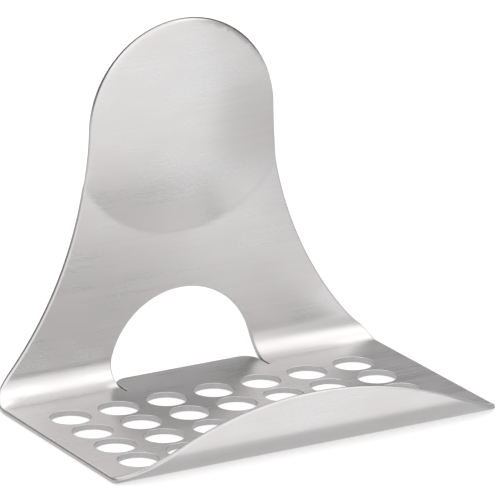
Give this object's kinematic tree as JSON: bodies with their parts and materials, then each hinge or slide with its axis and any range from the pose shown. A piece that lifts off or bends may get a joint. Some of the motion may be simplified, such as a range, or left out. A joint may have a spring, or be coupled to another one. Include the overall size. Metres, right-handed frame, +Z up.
{
  "type": "hand masher",
  "caption": "Palm-held masher pressed from one steel sheet: perforated base, curled front lip, upright with a finger arch and a domed round head.",
  "frame": {"origin": "middle of the bounding box, on the flat underside of the base", "axes": "+Z up along the upright; +X across the width; +Y from the curled lip at the front to the upright at the rear"},
  "size_m": [0.1076, 0.0694, 0.0929],
  "materials": {
    "steel": "satin, brushed across the width"
  },
  "bodies": {
    "root": {"masher_body": "steel"}
  },
  "joints": []
}
